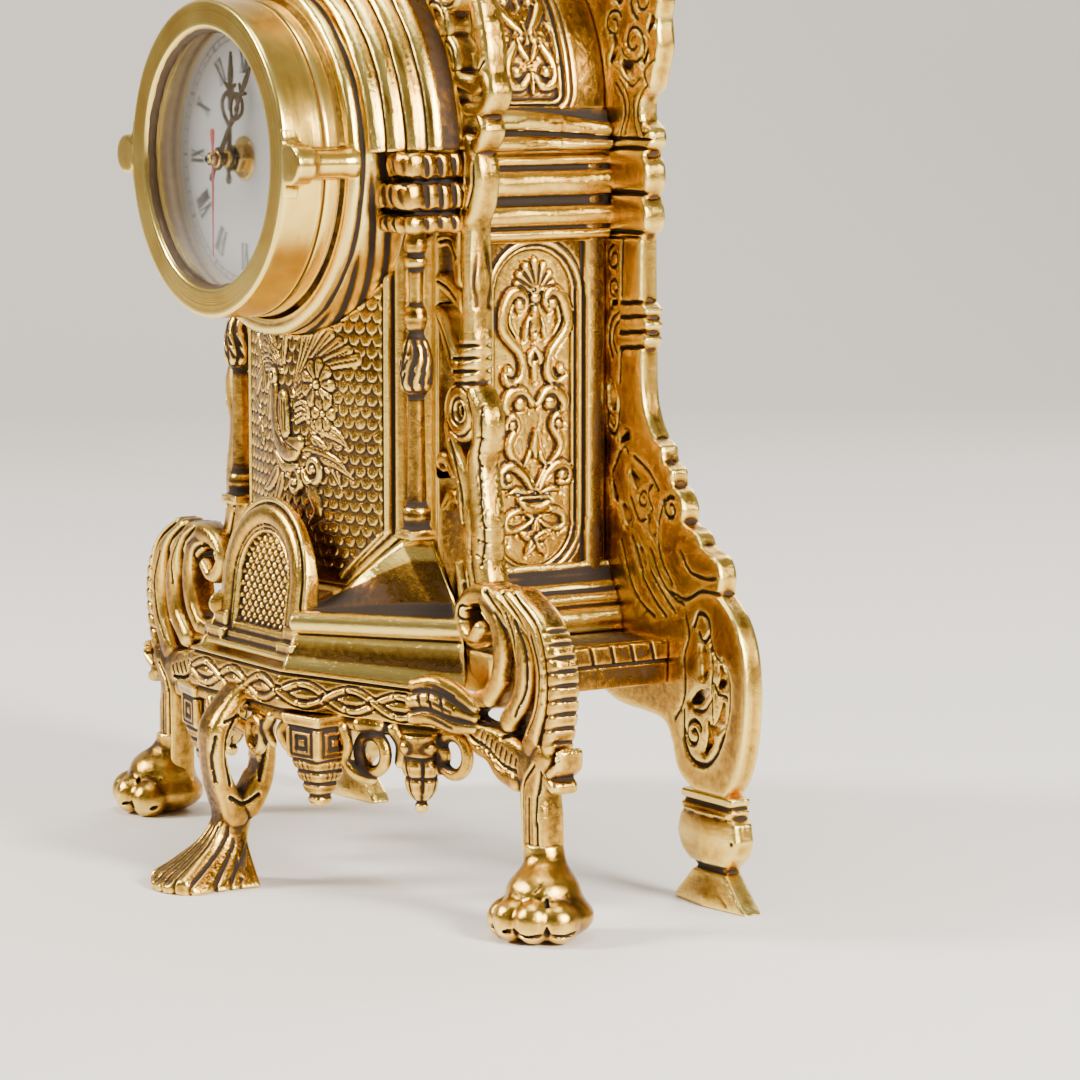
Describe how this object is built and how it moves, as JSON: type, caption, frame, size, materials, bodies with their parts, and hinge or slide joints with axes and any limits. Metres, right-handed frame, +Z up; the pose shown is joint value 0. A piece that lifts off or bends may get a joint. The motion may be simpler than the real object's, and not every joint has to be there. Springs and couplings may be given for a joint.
{
  "type": "mantel clock",
  "caption": "Ornate cast brass mantel clock on five feet, round dial in a deep bezel, hands geared to a quartz movement reached from the open back.",
  "frame": {"origin": "middle of the footprint, on the surface the feet stand on", "axes": "+X to the clock's right as its dial is read, -Y the way the dial faces, +Z up"},
  "size_m": [0.317, 0.162, 0.42],
  "materials": {
    "cast_brass": "cast, dark brown patina in the recesses, polished on the high points",
    "polished_brass": "turned and polished, fine tool marks",
    "steel": "zinc plated",
    "crystal": "clear, domed",
    "dial_paper": null,
    "dark_hands": "satin, dark bronze",
    "red_hand": "satin red",
    "copper_wire": "enamelled winding wire",
    "board": "green solder mask",
    "cell_wrap": "plain dark sleeve, no print",
    "black_plastic": "moulded, fine grain",
    "white_nylon": "moulded nylon"
  },
  "bodies": {
    "case": {"rear_plate": "cast_brass", "collar": "cast_brass", "bezel": "polished_brass", "front_leg_right": "cast_brass", "front_leg_left": "cast_brass", "glass": "crystal", "arch_moulding": "cast_brass", "wing_right": "cast_brass", "wing_left": "cast_brass", "plinth": "cast_brass", "band_rail": "cast_brass", "middle_leg": "cast_brass", "crest": "cast_brass", "column_right": "cast_brass", "column_left": "cast_brass", "arch_door": "cast_brass", "spacer_ring": "polished_brass", "dial": "dial_paper", "vault": "cast_brass", "finial": "cast_brass", "front_panel": "cast_brass", "movement_case": "black_plastic", "battery": "cell_wrap", "rear_foot_right": "cast_brass", "rear_foot_left": "cast_brass", "dial_washer": "polished_brass", "bezel_screw_right": "steel", "bezel_screw_left": "steel", "capital_right": "cast_brass", "capital_left": "cast_brass", "side_wall_right": "cast_brass", "side_wall_left": "cast_brass", "stator": "steel", "dial_nut": "polished_brass", "corner_pendant_right": "cast_brass", "corner_pendant_left": "cast_brass", "base_plate": "cast_brass", "movement_cover": "black_plastic", "coil": "copper_wire", "drop_pendant_right": "cast_brass", "drop_pendant_left": "cast_brass", "side_cornice_right": "cast_brass", "side_cornice_left": "cast_brass", "side_plinth_right": "cast_brass", "side_plinth_left": "cast_brass", "circuit_board": "board", "battery_contact_positive": "steel", "battery_contact_negative": "steel"},
    "seconds": {"seconds_wheel": "white_nylon", "second_hand": "red_hand"},
    "third": {"third_wheel": "white_nylon"},
    "centre": {"centre_wheel": "white_nylon"},
    "step": {"step_wheel": "white_nylon"},
    "rotor_body": {"rotor": "steel"},
    "minutes": {"cannon_pinion": "polished_brass", "minute_hand": "dark_hands"},
    "motion": {"minute_wheel": "white_nylon"},
    "hours": {"hour_wheel": "white_nylon", "hour_hand": "dark_hands"},
    "knob": {"setting_knob": "black_plastic"}
  },
  "joints": [
    {"name": "second_hand_turn", "type": "hinge", "parent": "case", "child": "seconds", "pos_m": [0, -0.032, 0.2643], "axis": [0, 1, 0], "continuous": true},
    {"name": "minute_hand_turn", "type": "hinge", "parent": "case", "child": "minutes", "pos_m": [0, -0.032, 0.2643], "axis": [0, 1, 0], "continuous": true},
    {"name": "hour_hand_turn", "type": "hinge", "parent": "case", "child": "hours", "pos_m": [0, -0.032, 0.2643], "axis": [0, 1, 0], "continuous": true},
    {"name": "minute_wheel_turn", "type": "hinge", "parent": "case", "child": "motion", "pos_m": [-0.01129, -0.032, 0.26836], "axis": [0, 1, 0], "continuous": true},
    {"name": "setting_knob_turn", "type": "hinge", "parent": "case", "child": "knob", "pos_m": [-0.01707, -0.032, 0.27888], "axis": [0, 1, 0], "continuous": true},
    {"name": "third_wheel_turn", "type": "hinge", "parent": "case", "child": "third", "pos_m": [0.0112, -0.032, 0.26833], "axis": [0, 1, 0], "continuous": true},
    {"name": "centre_wheel_turn", "type": "hinge", "parent": "case", "child": "centre", "pos_m": [0, -0.032, 0.2643], "axis": [0, 1, 0], "continuous": true},
    {"name": "step_wheel_turn", "type": "hinge", "parent": "case", "child": "step", "pos_m": [0, -0.032, 0.2727], "axis": [0, 1, 0], "continuous": true},
    {"name": "rotor_turn", "type": "hinge", "parent": "case", "child": "rotor_body", "pos_m": [0.00535, -0.032, 0.27917], "axis": [0, 1, 0], "continuous": true}
  ],
  "couplings": [
    {"joint": "hour_hand_turn", "follows": "minute_hand_turn", "ratio": 0.083333},
    {"joint": "minute_wheel_turn", "follows": "minute_hand_turn", "ratio": -0.33333},
    {"joint": "setting_knob_turn", "follows": "minute_hand_turn", "ratio": 1},
    {"joint": "third_wheel_turn", "follows": "second_hand_turn", "ratio": -0.13333},
    {"joint": "centre_wheel_turn", "follows": "second_hand_turn", "ratio": 0.016667},
    {"joint": "step_wheel_turn", "follows": "second_hand_turn", "ratio": -5},
    {"joint": "rotor_turn", "follows": "second_hand_turn", "ratio": 30}
  ]
}
